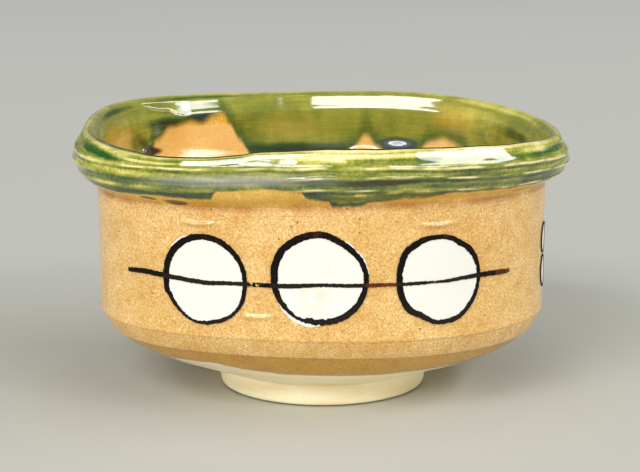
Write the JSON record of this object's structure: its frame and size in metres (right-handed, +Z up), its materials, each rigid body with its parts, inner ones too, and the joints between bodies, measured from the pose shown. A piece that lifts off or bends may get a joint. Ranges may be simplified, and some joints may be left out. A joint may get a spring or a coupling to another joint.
{
  "type": "shoe-shaped tea bowl",
  "caption": "Hand-thrown stoneware tea bowl pressed into a shoe-shaped oval, with a rolled green-glazed rim, an amber wall with brushed roundels and a low foot ring.",
  "frame": {"origin": "on the table, under the middle of the bowl", "axes": "+Z up; +X along the bowl's long side, towards its narrower end; -Y is the front with the three roundels"},
  "size_m": [0.1358, 0.1114, 0.074],
  "materials": {
    "bare_clay": "unglazed cream stoneware, fine sandy grain",
    "amber_glaze": "thin semi-gloss amber glaze over sandy clay, with pale and dark specks",
    "green_glaze": "glossy copper green glaze, thin and cream-coloured on the ridges, pooling dark",
    "olive_glaze": "glossy olive and amber glaze with green runs",
    "white_slip": "thick white slip under thin clear glaze",
    "iron_brown": "brushed iron pigment, dark brown with thin edges"
  },
  "bodies": {
    "root": {"clay_body": "bare_clay", "foot_ring": "bare_clay", "outside_glaze": "amber_glaze", "green_rim_glaze": "green_glaze", "inside_glaze": "olive_glaze", "slip_roundel_left": "white_slip", "slip_roundel_middle": "white_slip", "slip_roundel_right": "white_slip", "side_roundel_upper": "white_slip", "side_roundel_lower": "white_slip", "side_ring_upper": "iron_brown", "side_ring_lower": "iron_brown", "iron_ring_left": "iron_brown", "iron_ring_middle": "iron_brown", "iron_ring_right": "iron_brown", "iron_skewer_line": "iron_brown"}
  },
  "joints": []
}
